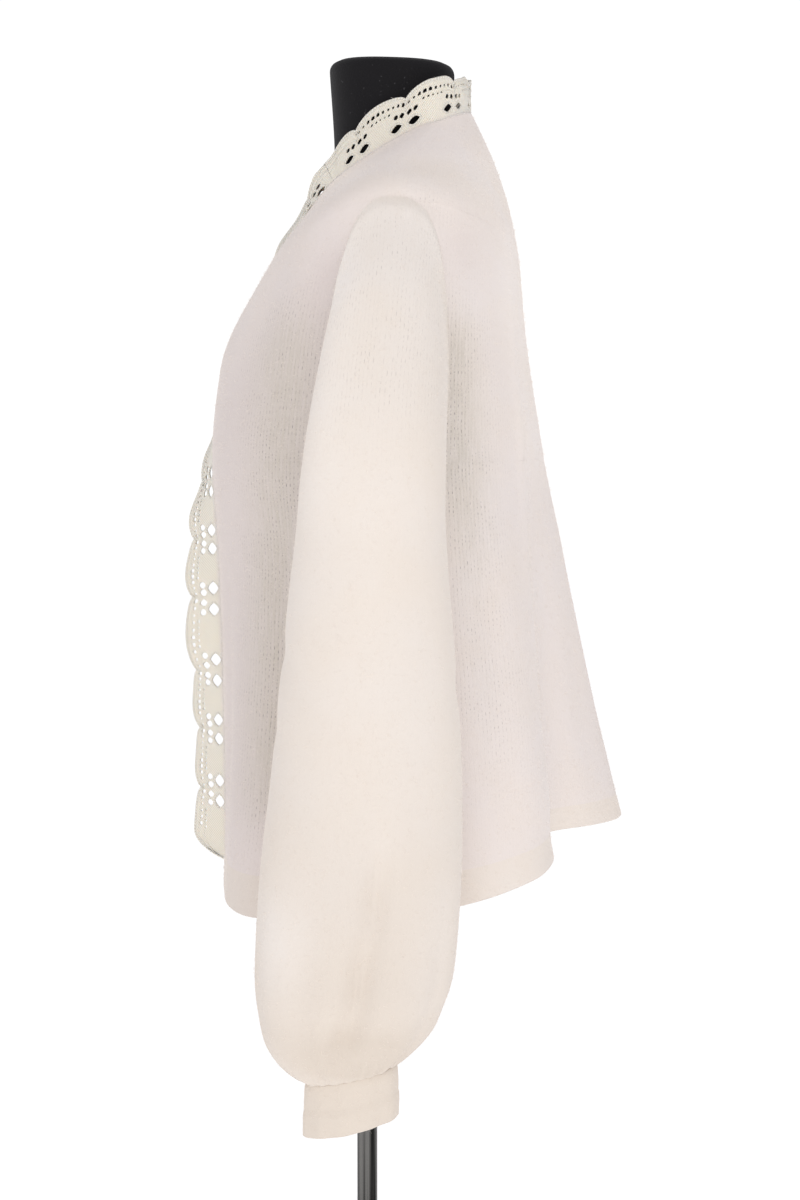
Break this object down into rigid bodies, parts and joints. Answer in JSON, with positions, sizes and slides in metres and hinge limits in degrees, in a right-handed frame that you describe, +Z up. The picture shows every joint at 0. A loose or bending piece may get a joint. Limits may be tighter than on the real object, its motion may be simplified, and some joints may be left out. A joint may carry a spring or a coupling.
{
  "type": "knitted cardigan on a limbless dress form",
  "caption": "Ivory knitted cardigan with balloon sleeves and scalloped crochet edging at the neck and open front, on a black dress form.",
  "frame": {"origin": "centre of the base's underside, on the pole's axis", "axes": "+Z up, -Y towards the garment's front, +X towards the wearer's left"},
  "size_m": [0.626, 0.3498, 0.9675],
  "materials": {
    "ivory_knit": "brushed",
    "cream_crochet": "matte",
    "black_jersey": "matte",
    "steel": "satin"
  },
  "bodies": {
    "root": {"back": "ivory_knit", "left_front": "ivory_knit", "right_front": "ivory_knit", "back_hem": "ivory_knit", "left_front_hem": "ivory_knit", "right_front_hem": "ivory_knit", "left_sleeve": "ivory_knit", "right_sleeve": "ivory_knit", "left_cuff": "ivory_knit", "right_cuff": "ivory_knit", "left_collar_lace": "cream_crochet", "right_collar_lace": "cream_crochet", "left_front_lace": "cream_crochet", "right_front_lace": "cream_crochet", "dress_form": "black_jersey", "stand_pole": "steel", "stand_base": "steel"}
  },
  "joints": []
}
